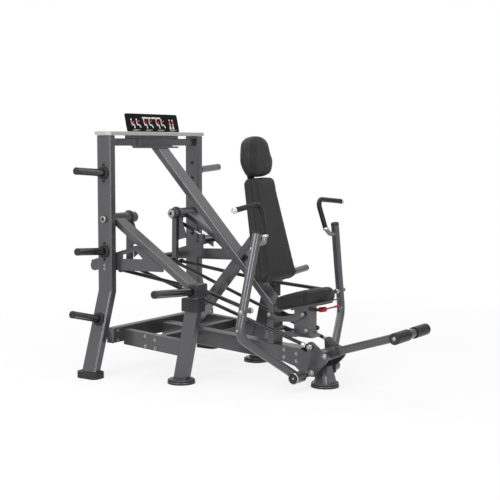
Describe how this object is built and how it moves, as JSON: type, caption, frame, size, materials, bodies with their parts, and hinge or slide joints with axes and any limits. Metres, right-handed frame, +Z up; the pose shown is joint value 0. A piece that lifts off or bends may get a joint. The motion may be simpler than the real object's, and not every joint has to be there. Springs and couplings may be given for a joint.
{
  "type": "shoulder press machine",
  "caption": "Plate-loaded lever press with a reclined back pad, adjustable seat, swinging press arms, weight arms on rear columns and a foot assist lever.",
  "frame": {"origin": "on the floor, below the middle of the footprint, in the centre plane", "axes": "+Z up; -Y towards the front, where the seated user faces; +X to the left hand of the seated user"},
  "size_m": [1.809, 2.2524, 1.7778],
  "materials": {
    "frame_paint": "satin metallic anthracite powder coat",
    "top_silver": "satin silver coat",
    "panel_face": "matt black printed sheet",
    "black_rubber": "moulded rubber",
    "grip_rubber": "soft grip sleeve",
    "chrome": "polished",
    "black_lacquer": "gloss black",
    "handle_paint": "satin grey",
    "upholstery": "grained charcoal leatherette",
    "release_red": "gloss red"
  },
  "bodies": {
    "frame": {"column_right": "frame_paint", "column_left": "frame_paint", "leg_shoes": "black_rubber", "top_plate": "top_silver", "upper_crossbeam": "frame_paint", "crossbeam_saddle": "frame_paint", "instruction_panel": "panel_face", "main_brace": "frame_paint", "back_strut": "frame_paint", "rear_strut": "frame_paint", "lever_bracket_right": "frame_paint", "lever_bracket_left": "frame_paint", "rear_crossbeam": "frame_paint", "base_rails": "frame_paint", "mid_posts": "frame_paint", "centre_beam": "frame_paint", "front_bracket": "frame_paint", "foot_pads": "black_rubber", "rest_bumpers": "black_rubber", "storage_sleeves": "chrome", "storage_trim": "black_rubber", "pivot_shafts": "chrome", "frame_bolts": "chrome", "back_pad": "upholstery", "head_pad": "upholstery", "pad_supports": "black_lacquer", "arm_axle": "chrome"},
    "press_arm_right": {"press_arm_right": "frame_paint", "arm_trim_right": "black_rubber", "handle_bar_right": "handle_paint", "handle_grip_right": "grip_rubber"},
    "weight_arm_right": {"weight_arm_right": "frame_paint", "arm_lever_right": "frame_paint", "weight_horn_right": "chrome", "weight_trim_right": "black_rubber"},
    "press_rod_right": {"press_rod_right": "black_lacquer"},
    "damper_rod_right": {"damper_rod_right": "chrome"},
    "damper_cylinder_right": {"damper_cylinder_right": "black_lacquer"},
    "foot_link_lever_right": {"foot_link_lever_right": "frame_paint"},
    "foot_rod_right": {"foot_rod_right": "black_lacquer"},
    "press_arm_left": {"press_arm_left": "frame_paint", "arm_trim_left": "black_rubber", "handle_bar_left": "handle_paint", "handle_grip_left": "grip_rubber"},
    "weight_arm_left": {"weight_arm_left": "frame_paint", "arm_lever_left": "frame_paint", "weight_horn_left": "chrome", "weight_trim_left": "black_rubber"},
    "press_rod_left": {"press_rod_left": "black_lacquer"},
    "damper_rod_left": {"damper_rod_left": "chrome"},
    "damper_cylinder_left": {"damper_cylinder_left": "black_lacquer"},
    "foot_link_lever_left": {"foot_link_lever_left": "frame_paint"},
    "foot_rod_left": {"foot_rod_left": "black_lacquer"},
    "foot_lever": {"foot_lever": "frame_paint", "roller_grips": "grip_rubber"},
    "seat_upper_link": {"seat_upper_link": "frame_paint"},
    "seat_lower_link": {"seat_lower_link": "frame_paint"},
    "seat_carriage": {"seat_carriage": "frame_paint", "seat_pad": "upholstery"},
    "release_lever": {"release_lever": "release_red"}
  },
  "joints": [
    {"name": "press_arm_right_swing", "type": "hinge", "parent": "frame", "child": "press_arm_right", "pos_m": [-0.215, -0.411, 0.089], "axis": [1, 0, 0], "range_deg": [0, 20]},
    {"name": "weight_arm_right_lift", "type": "hinge", "parent": "frame", "child": "weight_arm_right", "pos_m": [-0.357, 0.941, 1.061], "axis": [-1, 0, 0], "range_deg": [0, 27.4]},
    {"name": "press_rod_right_pivot", "type": "hinge", "parent": "press_arm_right", "child": "press_rod_right", "pos_m": [-0.535, -0.261, 0.547], "axis": [-1, 0, 0], "range_deg": [0, 19.5]},
    {"name": "damper_right_pivot", "type": "hinge", "parent": "frame", "child": "damper_rod_right", "pos_m": [-0.318, 0.741, 0.903], "axis": [1, 0, 0], "range_deg": [0, 5.2]},
    {"name": "damper_right_stroke", "type": "slide", "parent": "damper_rod_right", "child": "damper_cylinder_right", "axis": [0, -0.9156, -0.402], "range_m": [0, 0.0263]},
    {"name": "foot_link_right_swing", "type": "hinge", "parent": "frame", "child": "foot_link_lever_right", "pos_m": [-0.234, 0.941, 1.061], "axis": [-1, 0, 0], "range_deg": [0, 14.2]},
    {"name": "foot_rod_right_pivot", "type": "hinge", "parent": "foot_lever", "child": "foot_rod_right", "pos_m": [-0.135, -0.45, 0.275], "axis": [-1, 0, 0], "range_deg": [0, 26.1]},
    {"name": "press_arm_left_swing", "type": "hinge", "parent": "frame", "child": "press_arm_left", "pos_m": [0.215, -0.411, 0.089], "axis": [1, 0, 0], "range_deg": [0, 20]},
    {"name": "weight_arm_left_lift", "type": "hinge", "parent": "frame", "child": "weight_arm_left", "pos_m": [0.357, 0.941, 1.061], "axis": [-1, 0, 0], "range_deg": [0, 27.4]},
    {"name": "press_rod_left_pivot", "type": "hinge", "parent": "press_arm_left", "child": "press_rod_left", "pos_m": [0.535, -0.261, 0.547], "axis": [-1, 0, 0], "range_deg": [0, 19.5]},
    {"name": "damper_left_pivot", "type": "hinge", "parent": "frame", "child": "damper_rod_left", "pos_m": [0.318, 0.741, 0.903], "axis": [1, 0, 0], "range_deg": [0, 5.2]},
    {"name": "damper_left_stroke", "type": "slide", "parent": "damper_rod_left", "child": "damper_cylinder_left", "axis": [0, -0.9156, -0.402], "range_m": [0, 0.0263]},
    {"name": "foot_link_left_swing", "type": "hinge", "parent": "frame", "child": "foot_link_lever_left", "pos_m": [0.234, 0.941, 1.061], "axis": [-1, 0, 0], "range_deg": [0, 14.2]},
    {"name": "foot_rod_left_pivot", "type": "hinge", "parent": "foot_lever", "child": "foot_rod_left", "pos_m": [0.135, -0.45, 0.275], "axis": [-1, 0, 0], "range_deg": [0, 26.1]},
    {"name": "foot_lever_press", "type": "hinge", "parent": "frame", "child": "foot_lever", "pos_m": [0, -0.456, 0.106], "axis": [1, 0, 0], "range_deg": [0, 27], "stiffness_Nm_per_rad": 40, "springref_deg": -85.94},
    {"name": "seat_link_lift", "type": "hinge", "parent": "frame", "child": "seat_upper_link", "pos_m": [0, -0.097, 0.446], "axis": [-1, 0, 0], "range_deg": [0, 18]},
    {"name": "seat_lower_link_lift", "type": "hinge", "parent": "frame", "child": "seat_lower_link", "pos_m": [0, -0.126, 0.343], "axis": [-1, 0, 0], "range_deg": [0, 18]},
    {"name": "seat_carriage_level", "type": "hinge", "parent": "seat_upper_link", "child": "seat_carriage", "pos_m": [0, -0.355, 0.47], "axis": [1, 0, 0], "range_deg": [0, 18]},
    {"name": "seat_release", "type": "hinge", "parent": "seat_carriage", "child": "release_lever", "pos_m": [0.04, -0.402, 0.49], "axis": [-1, 0, 0], "range_deg": [0, 10], "stiffness_Nm_per_rad": 2}
  ],
  "couplings": [
    {"joint": "weight_arm_right_lift", "follows": "press_arm_right_swing", "ratio": 1.3687},
    {"joint": "press_rod_right_pivot", "follows": "press_arm_right_swing", "ratio": 0.97239},
    {"joint": "damper_right_pivot", "follows": "press_arm_right_swing", "ratio": 0.2563},
    {"joint": "damper_right_stroke", "follows": "press_arm_right_swing", "m_per_rad": 0.075099},
    {"joint": "foot_link_right_swing", "follows": "foot_lever_press", "ratio": 0.52445},
    {"joint": "foot_rod_right_pivot", "follows": "foot_lever_press", "ratio": 0.96431},
    {"joint": "weight_arm_left_lift", "follows": "press_arm_left_swing", "ratio": 1.3687},
    {"joint": "press_rod_left_pivot", "follows": "press_arm_left_swing", "ratio": 0.97239},
    {"joint": "damper_left_pivot", "follows": "press_arm_left_swing", "ratio": 0.2563},
    {"joint": "damper_left_stroke", "follows": "press_arm_left_swing", "m_per_rad": 0.075099},
    {"joint": "foot_link_left_swing", "follows": "foot_lever_press", "ratio": 0.52445},
    {"joint": "foot_rod_left_pivot", "follows": "foot_lever_press", "ratio": 0.96431},
    {"joint": "seat_lower_link_lift", "follows": "seat_link_lift", "ratio": 1},
    {"joint": "seat_carriage_level", "follows": "seat_link_lift", "ratio": 1}
  ]
}
